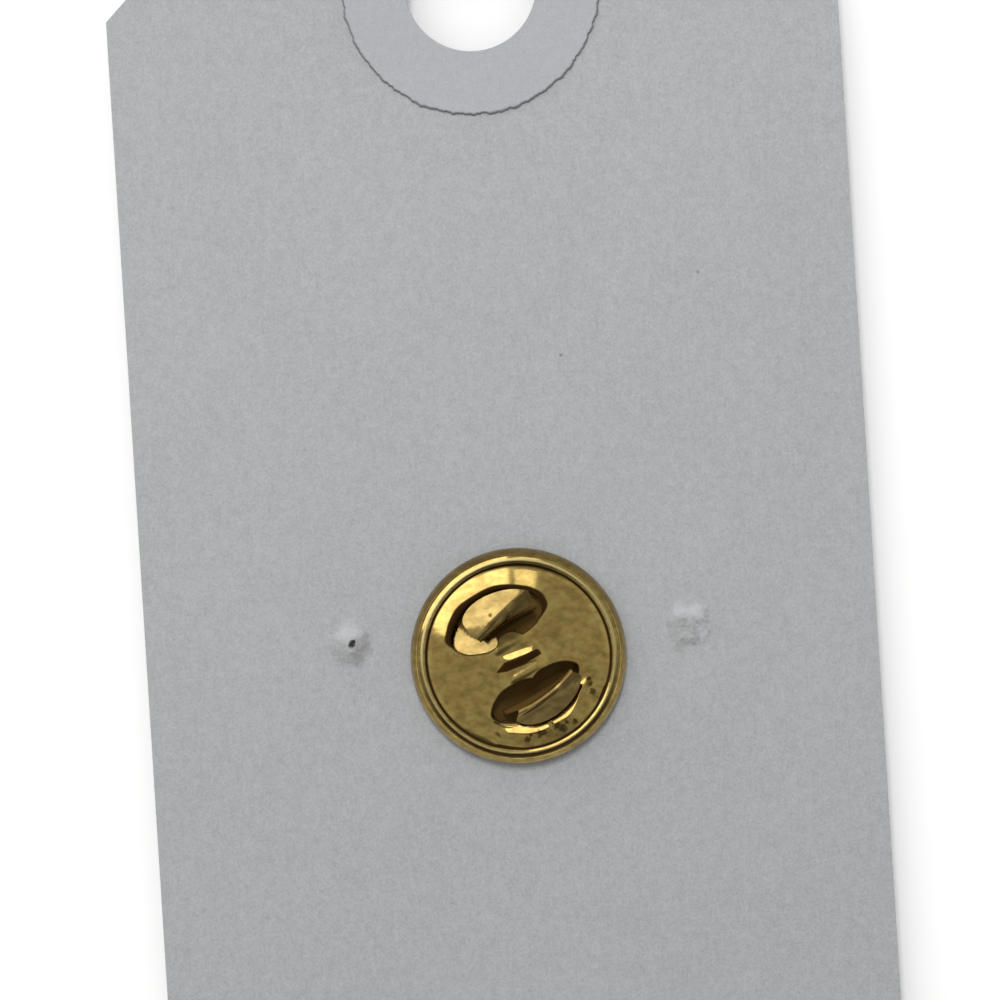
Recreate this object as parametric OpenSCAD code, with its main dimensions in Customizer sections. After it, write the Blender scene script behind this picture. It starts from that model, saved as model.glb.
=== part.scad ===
// Lapel pin worn through a tag card, seen from its back, with a butterfly clutch on its post.
// The head's flat front lies on z = 0 and the clutch is on top. +Y runs along the card to its
// hanging hole. The origin is under the middle of the card.

/* [Card] */
// Width of the card
card_w = 41.3; // [36:0.1:50]
// Length of the card
card_l = 82.55; // [74:0.05:110]
// Thickness of the card
card_t = 0.45; // [0.35:0.05:0.8]
// Length that each cut top corner takes from both edges
corner_cut = 10.3; // [4:0.1:14]
// Diameter of the hanging hole
hang_d = 7.4; // [5:0.1:9]
// Middle of the hanging hole, from the top edge
hang_in = 9.55; // [9:0.05:14]
// Diameter of the paper patch round the hanging hole
patch_d = 14.5; // [12:0.1:17]
// Thickness of the patch
patch_t = 0.15; // [0.1:0.05:0.3]

/* [Pin] */
// Diameter of the plain round head
head_d = 25.4; // [23:0.1:32]
// Thickness of the head
head_t = 1.5; // [1:0.1:3]
// Diameter of the post
post_d = 1.05; // [0.8:0.05:1.15]
// Reach of the post above the card
post_reach = 1.9; // [1.4:0.05:2]
// Sideways place of the post on the card
post_x = 0.33; // [-3:0.01:3]
// Lengthwise place of the post on the card
post_y = -6.18; // [-12:0.01:0]
// Distance between the two spurs
spur_gap = 19.25; // [16:0.05:20]
// Lengthwise place of the spurs, from the post
spur_y = 1.1; // [-2:0.1:2]
// Diameter of a spur at its foot
spur_d = 0.9; // [0.7:0.05:1]
// Reach of the spurs above the card's top face
spur_reach = 0.1; // [0:0.01:0.12]

/* [Clutch] */
// Outer diameter of the clutch
clutch_d = 12.2; // [11.8:0.1:12.6]
// Thickness of the clutch's sheet metal
sheet_t = 0.3; // [0.2:0.05:0.3]
// Height of the rolled rim
rim_h = 1.2; // [1.15:0.05:1.5]
// Height of the cover's crown above the card
crown_h = 2.4; // [2.4:0.05:2.9]
// Turn of the bridge on the card, from +X
clutch_turn = 26.4; // [-90:0.1:90]
// Length of a wing along the bridge
wing_l = 4.3; // [3.6:0.1:4.6]
// Height of the wings above the card
wing_h = 3.1; // [3:0.1:6]

/* [Hidden] */
$fn = 64;

paper_grey = "#AFB1B4";
patch_grey = "#B5B5BA";
gold = "#C9A227";
bend_steps = 8;
overlap = 0.05;

// Card levels, up from the head's front
card_z = head_t;
top_z = card_z + card_t;
hang_y = card_l / 2 - hang_in;

// The two marks that the spurs press up: foot radius, height and open radius at the tip
marks = [[0.72, 0.3, 0.12], [1.1, 0.32, 0]];
// Their wall at the foot, its share of that at the tip, and their root in the card
mark_wall = 0.17;
mark_thin = 0.7;
mark_root = 0.1;
// The spurs' middle lies a little to one side of the post
spur_shift = 0.15;
spur_x = [for (side = [-1, 1]) post_x + spur_shift + side * spur_gap / 2];
spur_tip_d = 0.12;

// The head's edges and the post's tip
head_front_r = 0.6;
head_back_r = 0.35;
post_tip_h = 0.3;
post_tip_d = 0.5;
post_clear = 0.075;

// The base's rolled rim and bore. Heights on the clutch are above the card
rim_r = rim_h / 2;
rim_mid = clutch_d / 2 - rim_r;
rim_end = 107;
bore_clear = 0.1;
bore_r = post_d / 2 + bore_clear;

// The cover's flange under the rim, its cone and its crown
seam_gap = 0.12;
flange_over = 0.1;
flange_in = 0.25;
flange_r = rim_mid + flange_over;
flange_z = rim_h - sheet_t - seam_gap;
cone_foot_r = rim_mid - flange_in;
crown_r = 1.5;
crown_drop = 0.14;
// Where the crown begins to fall: shares of its radius and of its drop
crown_knee = [0.55, 0.2];
cone_rise = crown_h - crown_drop - flange_z;
cone_t = sheet_t * sqrt(1 + pow(cone_rise / (cone_foot_r - crown_r), 2));

// The pockets, mirrored about the bridge: middle, half length, reach inward and outward
pocket_mid = 2.4;
pocket_half = 2.85;
pocket_in = 1.4;
pocket_out = 1.75;
pocket_power = 0.92;
lip_w = 0.22;
lip_h = 0.2;
lip_from = 12;
lip_to = 168;
lip_steps = 24;
outline_steps = 36;
// The round swell of the bridge into each pocket
swell_r = 1;
swell_mid = 0.65;

// The rib on the crown: length, width, height, the run of its flanks, its place and turn
rib_l = 2.65;
rib_w = 0.9;
rib_h = 0.32;
rib_run = 0.28;
rib_x = -0.17;
rib_turn = -10;

// A wing, from the post outward: jaw, foot bend, riser, crest bend and tab
jaw_w = 2.6;
jaw_in = 0.15;
jaw_fall = 15;
jaw_clear = 0.05;
floor_w = 4.8;
floor_in = 1.2;
foot_mid = [1.95, 1.2];
foot_bend = 0.4;
riser_lean = 6;
crest_bend = 0.3;
tab_fall = 25;
tab_out = 3.9;
wing_x = 0.2;
leaf_foot = 2.1;
leaf_steps = 24;

// Points along an arc, in degrees
function arc(mid, r, from, to) =
    [for (i = [0:bend_steps]) let (a = from + (to - from) * i / bend_steps) mid + r * [cos(a), sin(a)]];

// A pocket's outline on the +Y side, grown all round, from one angle to another
function pocket(grow, from, to, steps) =
    [for (i = [0:steps])
        let (
            a = from + (to - from) * i / steps,
            side = sin(a) > 0 ? pocket_out : pocket_in,
            across = sign(cos(a)) * pow(abs(cos(a)), pocket_power),
            along = sign(sin(a)) * pow(abs(sin(a)), pocket_power)
        )
        [(pocket_half + grow) * across, pocket_mid + (side + grow) * along]];

// The cover's top line from the axis outward, moved up by lift
function cover_line(lift) = [
    [0, crown_h + lift],
    [crown_r * crown_knee[0], crown_h - crown_drop * crown_knee[1] + lift],
    [crown_r, crown_h - crown_drop + lift],
    [cone_foot_r, flange_z + lift]
];

function reversed(list) = [for (i = [len(list) - 1:-1:0]) list[i]];

module on_card() {
    translate([post_x, post_y, top_z]) rotate(clutch_turn) children();
}

module card_outline() {
    w = card_w / 2;
    l = card_l / 2;
    polygon([
        [-w, -l], [w, -l], [w, l - corner_cut], [w - corner_cut, l],
        [corner_cut - w, l], [-w, l - corner_cut]
    ]);
}

// A raised mark, hollow below: foot radius, height, open radius
module mark_shell(mark) {
    end = acos(mark[2] / mark[0]);
    inner = [mark[0] - mark_wall, mark[1] - mark_wall * mark_thin];
    steps = bend_steps;
    rotate_extrude()
        polygon(concat(
            [[inner[0], -mark_root], [mark[0], -mark_root]],
            [for (i = [0:steps]) [mark[0] * cos(end * i / steps), mark[1] * sin(end * i / steps)]],
            [for (i = [steps:-1:0]) let (a = acos(mark[2] / inner[0]) * i / steps)
                [inner[0] * cos(a), inner[1] * sin(a)]]
        ));
}

module card() {
    color(paper_grey) {
        difference() {
            translate([0, 0, card_z]) linear_extrude(card_t) card_outline();
            translate([0, hang_y, 0]) cylinder(d = hang_d, h = 2 * top_z);
            translate([post_x, post_y, 0]) cylinder(r = post_d / 2 + post_clear, h = 2 * top_z);
            for (i = [0, 1])
                translate([spur_x[i], post_y + spur_y, 0])
                    cylinder(r = marks[i][0] - mark_wall, h = 2 * top_z);
        }
        for (i = [0, 1])
            translate([spur_x[i], post_y + spur_y, top_z]) mark_shell(marks[i]);
    }
}

module hole_patch() {
    color(patch_grey)
        translate([0, hang_y, top_z])
            difference() {
                cylinder(d = patch_d, h = patch_t);
                translate([0, 0, -patch_t]) cylinder(d = hang_d, h = 3 * patch_t);
            }
}

module pin() {
    color(gold) {
        translate([post_x, post_y, 0]) {
            rotate_extrude()
                polygon(concat(
                    [[0, head_t], [0, 0]],
                    arc([head_d / 2 - head_front_r, head_front_r], head_front_r, -90, 0),
                    arc([head_d / 2 - head_back_r, head_t - head_back_r], head_back_r, 0, 90)
                ));
            translate([0, 0, head_t - overlap])
                cylinder(d = post_d, h = card_t + post_reach + overlap - post_tip_h);
            translate([0, 0, top_z + post_reach - post_tip_h])
                cylinder(d1 = post_d, d2 = post_tip_d, h = post_tip_h);
        }
        for (x = spur_x)
            translate([x, post_y + spur_y, head_t - overlap])
                cylinder(d1 = spur_d, d2 = spur_tip_d, h = card_t + spur_reach + overlap);
    }
}

module clutch_base() {
    mid = [rim_mid, rim_r];
    color(gold)
        on_card()
            rotate_extrude()
                polygon(concat(
                    [[bore_r, sheet_t], [bore_r, 0]],
                    arc(mid, rim_r, -90, 0),
                    arc(mid, rim_r, 0, rim_end),
                    arc(mid, rim_r - sheet_t, rim_end, 0),
                    arc(mid, rim_r - sheet_t, 0, -90)
                ));
}

// The cover as a plain cone-shaped sheet with its flange under the rolled rim
module cover_sheet() {
    rotate_extrude()
        polygon(concat(
            cover_line(0),
            [[flange_r, flange_z], [flange_r, flange_z - sheet_t]],
            reversed(cover_line(-cone_t))
        ));
}

// The raised lip along a pocket's outer side
module pocket_lip() {
    intersection() {
        rotate_extrude()
            polygon(concat(cover_line(lip_h), reversed(cover_line(-cone_t / 2))));
        linear_extrude(2 * crown_h)
            polygon(concat(
                pocket(0, lip_from, lip_to, lip_steps),
                reversed(pocket(lip_w, lip_from, lip_to, lip_steps))
            ));
    }
}

// A rib with four sloped flanks, sunk a little into the crown
module crown_rib() {
    foot = crown_h - sheet_t / 2;
    top = crown_h + rib_h;
    intersection() {
        rotate([90, 0, 0])
            linear_extrude(rib_w, center = true)
                polygon([
                    [-rib_l / 2, foot], [rib_l / 2, foot],
                    [rib_l / 2 - rib_run, top], [rib_run - rib_l / 2, top]
                ]);
        rotate([90, 0, 90])
            linear_extrude(rib_l, center = true)
                polygon([
                    [-rib_w / 2, foot], [rib_w / 2, foot],
                    [rib_w / 2 - rib_run, top], [rib_run - rib_w / 2, top]
                ]);
    }
}

// What is cut from the cover for one pocket, all but the swell of the bridge
module pocket_cut() {
    difference() {
        linear_extrude(2 * crown_h)
            polygon(pocket(0, 0, 360 - 360 / outline_steps, outline_steps - 1));
        translate([0, swell_mid, -overlap]) cylinder(r = swell_r, h = 3 * crown_h);
    }
}

module clutch_face() {
    color(gold)
        on_card() {
            difference() {
                cover_sheet();
                for (side = [0, 1])
                    mirror([0, side, 0]) pocket_cut();
            }
            for (side = [0, 1])
                mirror([0, side, 0]) pocket_lip();
            translate([rib_x, 0, 0]) rotate(rib_turn) crown_rib();
        }
}

// A wing's side view as a bent strip of sheet: jaw, foot bend, riser, crest bend and tab
module wing_section() {
    half = sheet_t / 2;
    foot_from = -90 - jaw_fall;
    riser_dir = 90 - riser_lean;
    foot_start = foot_mid + foot_bend * [cos(foot_from), sin(foot_from)];
    jaw_tip = [jaw_in, foot_start[1] + (foot_start[0] - jaw_in) * tan(jaw_fall)];
    riser_foot = foot_mid + foot_bend * [cos(riser_lean), -sin(riser_lean)];
    crest_z = wing_h - crest_bend - half;
    crest = [
        riser_foot[0] + (crest_z - riser_foot[1]) / tan(riser_dir) + crest_bend / sin(riser_dir),
        crest_z
    ];
    bend_end = 90 - tab_fall;
    tab_start = crest + crest_bend * [cos(bend_end), sin(bend_end)];
    tab_end = [tab_out, tab_start[1] - (tab_out - tab_start[0]) * tan(tab_fall)];
    jaw_half = half * [sin(jaw_fall), cos(jaw_fall)];
    tab_half = half * [sin(tab_fall), cos(tab_fall)];
    polygon(concat(
        [jaw_tip + jaw_half, jaw_tip - jaw_half],
        arc(foot_mid, foot_bend + half, foot_from, -riser_lean),
        arc(crest, crest_bend - half, 180 - riser_lean, bend_end),
        [tab_end - tab_half, tab_end + tab_half],
        arc(crest, crest_bend + half, bend_end, 180 - riser_lean),
        arc(foot_mid, foot_bend - half, -riser_lean, foot_from)
    ));
}

// A wing's plan: a narrow jaw, a wide floor below the pocket and a leaf for riser and tab
module wing_plan() {
    leaf = [wing_l / 2, tab_out + sheet_t - leaf_foot];
    translate([-jaw_w / 2, 0]) square([jaw_w, leaf_foot]);
    translate([-floor_w / 2, floor_in]) square([floor_w, leaf_foot - floor_in]);
    translate([wing_x, leaf_foot - overlap])
        polygon([for (i = [0:leaf_steps]) let (a = 180 * i / leaf_steps)
            [leaf[0] * cos(a), leaf[1] * sin(a)]]);
}

module wing() {
    difference() {
        intersection() {
            rotate([90, 0, 90]) linear_extrude(2 * wing_l, center = true) wing_section();
            linear_extrude(2 * wing_h) wing_plan();
        }
        cylinder(r = post_d / 2 + jaw_clear, h = 2 * wing_h);
    }
}

module wing_upper() {
    color(gold) on_card() wing();
}

module wing_lower() {
    color(gold) on_card() mirror([0, 1, 0]) wing();
}

card();
hole_patch();
pin();
clutch_base();
clutch_face();
wing_upper();
wing_lower();
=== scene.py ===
"""Looks of a lapel pin worn through its tag card: card, hole patch, pin and butterfly clutch."""

import math

import bmesh
import bpy
import numpy as np
from mathutils import Matrix, Vector, noise


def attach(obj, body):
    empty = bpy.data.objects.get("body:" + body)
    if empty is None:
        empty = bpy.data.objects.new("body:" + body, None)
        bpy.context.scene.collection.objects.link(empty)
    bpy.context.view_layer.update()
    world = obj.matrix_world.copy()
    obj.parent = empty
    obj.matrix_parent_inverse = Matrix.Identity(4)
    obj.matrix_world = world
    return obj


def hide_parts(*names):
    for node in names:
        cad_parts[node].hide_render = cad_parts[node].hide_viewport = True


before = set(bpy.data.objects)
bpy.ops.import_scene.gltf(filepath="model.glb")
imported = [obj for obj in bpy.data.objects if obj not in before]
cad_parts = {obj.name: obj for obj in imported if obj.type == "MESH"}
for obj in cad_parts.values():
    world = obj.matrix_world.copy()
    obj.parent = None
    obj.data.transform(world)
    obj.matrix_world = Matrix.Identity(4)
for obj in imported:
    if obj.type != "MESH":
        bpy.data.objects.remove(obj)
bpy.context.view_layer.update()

# Lengths are in millimetres and become metres through MM; the floor's and the lights' are in metres
MM = 0.001
# The card's two faces, above the floor
CARD_BACK, CARD_TOP = 1.5, 1.95
CARD_W, CARD_L, CORNER_CUT = 41.3, 82.55, 10.3
HOLE_Y, HOLE_R, PATCH_R, PATCH_T = 31.725, 3.7, 7.25, 0.15
POST_X, POST_Y, POST_R, POST_PLAY = 0.33, -6.18, 0.525, 0.075
SPUR_X, SPUR_Y = (-9.145, 10.105), -5.08
# Where the left spur's tip broke through the paper
PIERCED = (-9.01, -4.957)
CLUTCH_FOOT = Vector((POST_X, POST_Y, CARD_TOP)) * MM
CLUTCH_TURN = math.radians(26.4)
# The clutch's own measures run out from the bridge's middle line and up from the card
POCKET_Y = 2.4
COVER_R, COVER_TOP, SHEET, WING_SHEET = 5.5, 2.4, 0.22, 0.2
COVER_SIDES, COVER_RINGS = 300, 56
LIP_TOP, LIP_RISE, TAB_FALL = 1.46, 0.16, 0.4
# How far out from the post's middle a wing's jaw is drawn from, before it is opened
JAW_START = 0.12

# Tones of the plating, of its spots and of the painted shade laid on it
BRIGHT_GOLD, DULL_GOLD, RUBBED_GOLD = (0.95, 0.68, 0.21), (0.72, 0.49, 0.15), (1.0, 0.82, 0.36)
SPOT_BROWN, SHADE_BROWN = (0.07, 0.035, 0.01), (0.03, 0.014, 0.004)
NUMBER = "NodeSocketFloat"

# Edges of the two pockets, along the bridge and out from it, once round from the left
UPPER_POCKET = [
    (-2.95, 2.4), (-2.5, 3.05), (-1.85, 3.5), (-1.2, 3.8), (-0.5, 3.9), (0.4, 3.88), (1.1, 3.66),
    (1.85, 3.2), (2.35, 2.75), (2.6, 2.25), (2.45, 1.65), (1.8, 1.2), (0.95, 1.05), (0.74, 1.15),
    (0.42, 1.52), (0.0, 1.66), (-0.42, 1.52), (-0.7, 1.2), (-0.95, 1.1), (-1.5, 1.15), (-2.5, 1.6),
]
LOWER_POCKET = [
    (-2.95, 2.25), (-2.6, 2.75), (-1.8, 3.3), (-1.2, 3.68), (-0.6, 3.9), (0.2, 3.92), (1.0, 3.6),
    (1.72, 3.04), (2.33, 2.55), (2.6, 2.1), (2.4, 1.75), (1.8, 1.4), (0.8, 1.25), (0.3, 1.36),
    (0.1, 1.48), (-0.1, 1.36), (-0.7, 1.2), (-1.7, 1.25), (-2.3, 1.5), (-2.75, 1.85),
]


def smooth(low, high, value):
    """0 below low, 1 above high and an even turn between them."""
    share = np.clip((value - low) / (high - low), 0.0, 1.0)
    return share * share * (3 - 2 * share)


# Making and shaping


def open_piece(name, add, **where):
    """Adds a primitive with nothing else selected and opens it, all selected."""
    bpy.ops.object.select_all(action="DESELECT")
    add(**where)
    piece = bpy.context.object
    piece.name = piece.data.name = name
    bpy.ops.object.mode_set(mode="EDIT")
    bpy.ops.mesh.select_mode(type="VERT")
    bpy.ops.mesh.select_all(action="SELECT")
    return piece


def open_clutch_piece(name, add, **where):
    """A piece of the clutch: its own X runs along the bridge and its own Z up the post."""
    return open_piece(name, add, location=CLUTCH_FOOT, rotation=(0, 0, CLUTCH_TURN), **where)


def select_points(piece, test):
    """Selects the points whose place passes the test, and the edges and faces between them."""
    bpy.ops.mesh.select_mode(type="VERT")
    bpy.ops.mesh.select_all(action="DESELECT")
    work = bmesh.from_edit_mesh(piece.data)
    for point in work.verts:
        if test(*(point.co / MM)):
            point.select_set(True)
    work.select_flush(True)
    bmesh.update_edit_mesh(piece.data)


def select_edges(piece, test):
    """Selects the edges that pass the test."""
    bpy.ops.mesh.select_mode(type="EDGE")
    bpy.ops.mesh.select_all(action="DESELECT")
    work = bmesh.from_edit_mesh(piece.data)
    for edge in work.edges:
        if test(edge):
            edge.select_set(True)
    bmesh.update_edit_mesh(piece.data)


def place_selected(piece, rule):
    """Moves each selected point to where the rule puts it."""
    work = bmesh.from_edit_mesh(piece.data)
    for point in work.verts:
        if point.select:
            point.co = Vector(rule(*(point.co / MM))) * MM
    bmesh.update_edit_mesh(piece.data)


def read_points(piece):
    """A piece's points in millimetres, as the arrays of x, y and z."""
    points = np.empty(len(piece.data.vertices) * 3)
    piece.data.vertices.foreach_get("co", points)
    return points.reshape(-1, 3).T / MM


def press(piece, die):
    """Moves all points at once by a die, a rule for the arrays of x, y and z."""
    bpy.ops.object.mode_set(mode="OBJECT")
    x, y, z = read_points(piece)
    piece.data.vertices.foreach_set("co", (np.stack(die(x, y, z), axis=1) * MM).ravel())
    piece.data.update()
    bpy.ops.object.mode_set(mode="EDIT")


def keep_darkening(piece, rule):
    """Keeps how dark each point is painted, from 0 to 1, with the piece's mesh: painted shade on the clutch's
    pieces, and the patch's dark edge line.
    """
    bpy.ops.object.mode_set(mode="OBJECT")
    darkening = piece.data.attributes.new("darkening", "FLOAT", "POINT")
    darkening.data.foreach_set("value", rule(*read_points(piece)))
    bpy.ops.object.mode_set(mode="EDIT")


def turn_rings(piece, profile):
    """Extrudes the selected ring through pairs of radius and height, about the piece's own axis."""
    for (radius, height), (next_radius, next_height) in zip(profile, profile[1:]):
        rise = (0, 0, (next_height - height) * MM)
        bpy.ops.mesh.extrude_region_move(TRANSFORM_OT_translate={"value": rise})
        grow = next_radius / radius
        bpy.ops.transform.resize(value=(grow, grow, 1), center_override=piece.location)


def sheet_rows(piece, rows):
    """Extrudes the selected edge through rows of out, height, half width and middle."""
    along = Matrix.Rotation(piece.rotation_euler.z, 3, "Z")
    for (out, height, half, mid), (next_out, next_height, next_half, next_mid) in zip(rows, rows[1:]):
        step = along @ Vector((next_mid - mid, next_out - out, next_height - height)) * MM
        bpy.ops.mesh.extrude_region_move(TRANSFORM_OT_translate={"value": step})
        wide = next_half / half
        place_selected(piece, lambda x, y, z: (next_mid + (x - next_mid) * wide, y, z))


def outward_normals(piece, up=False):
    """Merges doubles and points the faces outwards, or upwards on an open sheet."""
    bpy.ops.mesh.select_all(action="SELECT")
    bpy.ops.mesh.remove_doubles(threshold=1e-6)
    bpy.ops.mesh.normals_make_consistent(inside=False)
    work = bmesh.from_edit_mesh(piece.data)
    if up and sum(face.normal.z * face.calc_area() for face in work.faces) < 0:
        bpy.ops.mesh.flip_normals()


def add_modifier(piece, kind, **settings):
    """Adds a modifier and applies it at once."""
    if piece.mode == "EDIT":
        bpy.ops.object.mode_set(mode="OBJECT")
    modifier = piece.modifiers.new(kind.lower(), kind)
    for key, value in settings.items():
        setattr(modifier, key, value)
    bpy.context.view_layer.objects.active = piece
    bpy.ops.object.modifier_apply(modifier=modifier.name)


def close_piece(piece, body, node, material, angle=40):
    """Applies the piece's place, smooths it and hands it to the frame."""
    if piece.mode == "EDIT":
        bpy.ops.object.mode_set(mode="OBJECT")
    bpy.ops.object.select_all(action="DESELECT")
    piece.select_set(True)
    bpy.context.view_layer.objects.active = piece
    bpy.ops.object.transform_apply(location=True, rotation=True, scale=True)
    bpy.ops.object.shade_smooth_by_angle(angle=math.radians(angle))
    piece.data.materials.clear()
    piece.data.materials.append(material)
    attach(piece, body)
    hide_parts(node)


def arc(mid, reach, start, end, steps):
    """Pairs of out and height along part of an ellipse with the two reaches, in degrees."""
    turns = [math.radians(start + (end - start) * i / steps) for i in range(steps + 1)]
    return [(mid[0] + reach[0] * math.cos(a), mid[1] + reach[1] * math.sin(a)) for a in turns]


# Pieces


def cut_round(piece, radius, middle, depth):
    """Cuts a round hole of that depth about a place in millimetres."""
    cutter = open_piece(
        "hole_cutter", bpy.ops.mesh.primitive_cylinder_add, vertices=128, radius=radius * MM,
        depth=depth * MM, location=Vector(middle) * MM,
    )
    bpy.ops.object.mode_set(mode="OBJECT")
    add_modifier(piece, "BOOLEAN", operation="DIFFERENCE", solver="EXACT", object=cutter)
    bpy.data.objects.remove(cutter)


def flat_noise(x, y, turns, layer=0):
    """Noise over a plane, with so many turns to each unit of x and y."""
    return np.array([noise.noise(Vector((a * turns, b * turns, layer))) for a, b in zip(x, y)])


def marks_die(x, y, z):
    """Presses the paper up over the two spurs: a torn low bump and a squarish blister."""
    ragged, grain = flat_noise(x, y, 1.9), flat_noise(x, y, 5.5, layer=3)
    dx, dy = x - SPUR_X[0], y - SPUR_Y
    torn = 1 - smooth(0.1, 1.25, np.hypot(dx * 0.95, dy) * (1 + 0.35 * ragged))
    dx, dy = x - SPUR_X[1], y - SPUR_Y
    square = (np.abs(dx) ** 3 + np.abs(dy * 1.08) ** 3) ** (1 / 3)
    blister = 1 - smooth(0.62, 1.28, square * (1 + 0.22 * ragged))
    dent = 0.09 * blister * smooth(0.0, 0.8, 1 - np.hypot(dx - 0.25, dy + 0.25))
    broken = 0.3 * (1 - smooth(0.06, 0.2, np.hypot(x - PIERCED[0], (y - PIERCED[1]) * 0.7)))
    lift = torn * (0.22 + 0.06 * grain) + blister * (0.15 + 0.05 * grain) - dent - broken
    return x, y, z + np.where(z > -0.01, np.maximum(lift, -0.05), 0)


def tag_card(material):
    """The paper tag: clipped corners, hanging hole, post hole and the two raised marks."""
    card = open_piece(
        "tag_card", bpy.ops.mesh.primitive_grid_add, x_subdivisions=44, y_subdivisions=88,
        size=MM, location=(0, 0, CARD_TOP * MM),
    )
    bpy.ops.transform.resize(value=(CARD_W, CARD_L, 1), center_override=card.location)
    half_w, half_l, half_cut = CARD_W / 2, CARD_L / 2, CORNER_CUT / 2
    for side in (-1, 1):
        bpy.ops.mesh.select_all(action="SELECT")
        corner = Vector((side * (half_w - half_cut), half_l - half_cut, CARD_TOP)) * MM
        bpy.ops.mesh.bisect(plane_co=corner, plane_no=(side, 1, 0), clear_outer=True)
    # The grid is made finer about the two marks, twice
    for reach in (1.9, 1.8):
        select_points(card, lambda x, y, z: min(math.hypot(x - a, y - SPUR_Y) for a in SPUR_X) < reach)
        bpy.ops.mesh.subdivide(number_cuts=3)
    outward_normals(card, up=True)
    add_modifier(card, "SOLIDIFY", thickness=(CARD_TOP - CARD_BACK) * MM, offset=-1)
    through, pit_r, pit_depth = 2, 0.5, 0.6
    cut_round(card, HOLE_R, (0, HOLE_Y, CARD_TOP), through)
    cut_round(card, POST_R + POST_PLAY, (POST_X, POST_Y, CARD_TOP), through)
    for x in SPUR_X:
        cut_round(card, pit_r, (x, SPUR_Y, CARD_BACK), pit_depth)
    press(card, marks_die)
    close_piece(card, "pinned_card", "card", material, angle=30)


def ragged_edge(x, y, z):
    """Tears the patch's outer edge by about 0.1 mm."""
    radius = np.hypot(x, y)
    tear = np.zeros(len(x))
    for strength, turns in ((0.08, 5.5), (0.11, 14), (0.08, 42)):
        tear += strength * flat_noise(x / radius, y / radius, turns)
    outer = smooth(PATCH_R - 0.25, PATCH_R, radius)
    grow = 1 + outer * (0.04 + tear) / PATCH_R
    return x * grow, y * grow, z


def patch_ring(material):
    """The round paper patch glued about the hanging hole."""
    place = Vector((0, HOLE_Y, CARD_TOP)) * MM
    patch = open_piece(
        "patch_ring", bpy.ops.mesh.primitive_circle_add, vertices=640, radius=HOLE_R * MM, location=place,
    )
    low, high = 0, PATCH_T
    turn_rings(patch, [
        (HOLE_R, low), (HOLE_R, high - 0.03), (HOLE_R + 0.03, high), (4.6, high), (5.8, high),
        (6.7, high), (PATCH_R - 0.22, high), (PATCH_R - 0.12, high), (PATCH_R - 0.04, high - 0.01),
        (PATCH_R, high - 0.05), (PATCH_R, low), (HOLE_R, low),
    ])
    outward_normals(patch)
    # How dark the patch's edge is painted: dark fibres and a painted thin shadow
    keep_darkening(patch, lambda x, y, z: smooth(PATCH_R - 0.12, PATCH_R - 0.04, np.hypot(x, y)))
    press(patch, ragged_edge)
    close_piece(patch, "pinned_card", "hole_patch", material)


def worn_pin(material):
    """The pin: a plain round head with a low border in front, its post and its two spurs."""
    post_top, tip_r, head_r, head_t = 3.85, 0.25, 12.7, CARD_BACK
    spur_r, spur_tip, spur_h, spur_z = 0.45, 0.06, 0.45, 1.65
    pin = open_piece(
        "worn_pin", bpy.ops.mesh.primitive_circle_add, vertices=256, radius=tip_r * MM,
        fill_type="NGON", location=Vector((POST_X, POST_Y, post_top)) * MM,
    )
    groove = [(POST_R, 3.5), (POST_R - 0.06, 3.42), (POST_R - 0.06, 3.3), (POST_R, 3.22)]
    turn_rings(
        pin,
        [(tip_r, post_top), (0.42, 3.74)] + groove + [(POST_R, 1.6), (POST_R + 0.1, head_t)]
        + [(radius, head_t) for radius in (3, 6, 9, 11.6)]
        + arc((head_r - 0.35, head_t - 0.35), (0.35, 0.35), 90, 0, 5)
        + arc((head_r - 0.45, 0.45), (0.45, 0.45), 0, -90, 8)
        + [(11.75, 0), (11.65, 0.03), (11.6, 0.1), (11.4, 0.12)]
        + [(radius, 0.12) for radius in (9, 6, 3, 0.6)],
    )
    bpy.ops.mesh.edge_face_add()
    for x in SPUR_X:
        bpy.ops.mesh.primitive_cone_add(
            vertices=40, radius1=spur_r * MM, radius2=spur_tip * MM, depth=spur_h * MM,
            location=Vector((x, SPUR_Y, spur_z)) * MM,
        )
    outward_normals(pin)
    close_piece(pin, "pinned_card", "pin", material)


def rolled_base(material):
    """The clutch's base: a disc with a bore, whose edge is rolled up and over into a bead."""
    bore_r, floor_top = 0.625, 0.3
    base = open_clutch_piece(
        "rolled_base", bpy.ops.mesh.primitive_circle_add, vertices=256, radius=bore_r * MM,
    )
    turn_rings(
        base,
        [(bore_r, 0.0), (2, 0), (4, 0), (5.7, 0), (6.02, 0), (6.08, 0.08), (6.1, 0.2), (6.09, 0.32)]
        + [(6.06, 0.45), (6.01, 0.6), (5.95, 0.74), (5.88, 0.87), (5.8, 0.985)]
        + arc((5.4, 0.78), (0.42, 0.42), 45, 90, 9)
        + arc((5.42, 0.75), (0.45, 0.45), 96, 113, 5)
        + arc((5.285, 1.045), (0.12, 0.12), 125, 195, 6)
        + [(5.2, 0.96), (5.4, 0.94), (5.6, 0.86), (5.76, 0.6), (5.68, 0.36), (5.5, floor_top)]
        + [(4, floor_top), (2, floor_top), (bore_r + 0.04, floor_top), (bore_r, 0.26), (bore_r, 0.0)],
    )
    outward_normals(base)
    close_piece(base, "clutch", "clutch_base", material)


def pocket_edge(points, steps=24):
    """A closed smooth line through a pocket's points, as an array."""
    knots = np.array(points)
    share = np.linspace(0, 1, steps, endpoint=False)[:, None]
    parts = []
    for i in range(len(knots)):
        a, b, c, d = (knots[(i + k) % len(knots)] for k in (-1, 0, 1, 2))
        parts.append(0.5 * (
            2 * b + (c - a) * share + (2 * a - 5 * b + 4 * c - d) * share**2
            + (3 * b - a - 3 * c + d) * share**3
        ))
    return np.concatenate(parts)


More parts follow.
